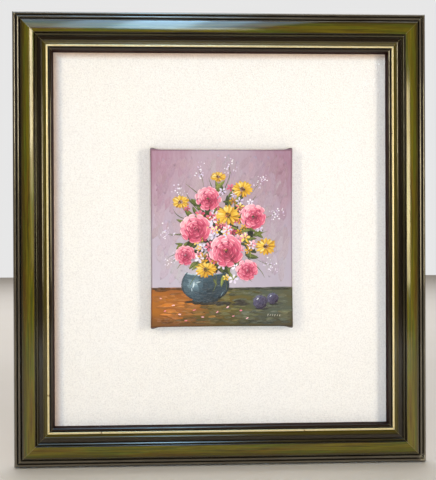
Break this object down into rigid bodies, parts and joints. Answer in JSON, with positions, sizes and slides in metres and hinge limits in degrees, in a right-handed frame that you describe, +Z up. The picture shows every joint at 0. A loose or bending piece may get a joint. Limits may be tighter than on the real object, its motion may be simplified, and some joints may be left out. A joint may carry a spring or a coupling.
{
  "type": "framed oil painting",
  "caption": "Small stretched canvas on a cream mount in a deep olive lacquered frame with a gilt line, made to hang on a wall.",
  "frame": {"origin": "middle of the sawtooth hanger's back face, where it meets the wall", "axes": "+Z up the picture, +Y into the wall, so the picture faces -Y; +X to the right of someone who looks at it"},
  "size_m": [0.5968, 0.0412, 0.6529],
  "materials": {
    "olive_lacquer": "glossy olive green lacquer, darkened in the quirks",
    "gilding": "bright gilt line, rubbed at its edges",
    "cream_paper": "matt cream paper with a fine crinkled texture",
    "painted_cloth": "primed cloth with oil paint, semi-gloss",
    "pine": "planed, unfinished",
    "hardboard": "smooth brown hardboard",
    "zinc_steel": "zinc plated",
    "brassed_steel": "brass plated"
  },
  "bodies": {
    "root": {"frame_rail_top": "olive_lacquer", "frame_rail_bottom": "olive_lacquer", "frame_rail_left": "olive_lacquer", "frame_rail_right": "olive_lacquer", "mount_board": "cream_paper", "painted_canvas": "painted_cloth", "stretcher_bar_top": "pine", "stretcher_bar_bottom": "pine", "stretcher_bar_left": "pine", "stretcher_bar_right": "pine", "backing_board": "hardboard", "board_clip_1": "zinc_steel", "board_clip_2": "zinc_steel", "board_clip_3": "zinc_steel", "board_clip_4": "zinc_steel", "board_clip_5": "zinc_steel", "board_clip_6": "zinc_steel", "board_clip_7": "zinc_steel", "board_clip_8": "zinc_steel", "clip_screw_1": "brassed_steel", "clip_screw_2": "brassed_steel", "clip_screw_3": "brassed_steel", "clip_screw_4": "brassed_steel", "clip_screw_5": "brassed_steel", "clip_screw_6": "brassed_steel", "clip_screw_7": "brassed_steel", "clip_screw_8": "brassed_steel", "sawtooth_hanger": "brassed_steel", "hanger_nail_1": "brassed_steel", "hanger_nail_2": "brassed_steel"}
  },
  "joints": []
}
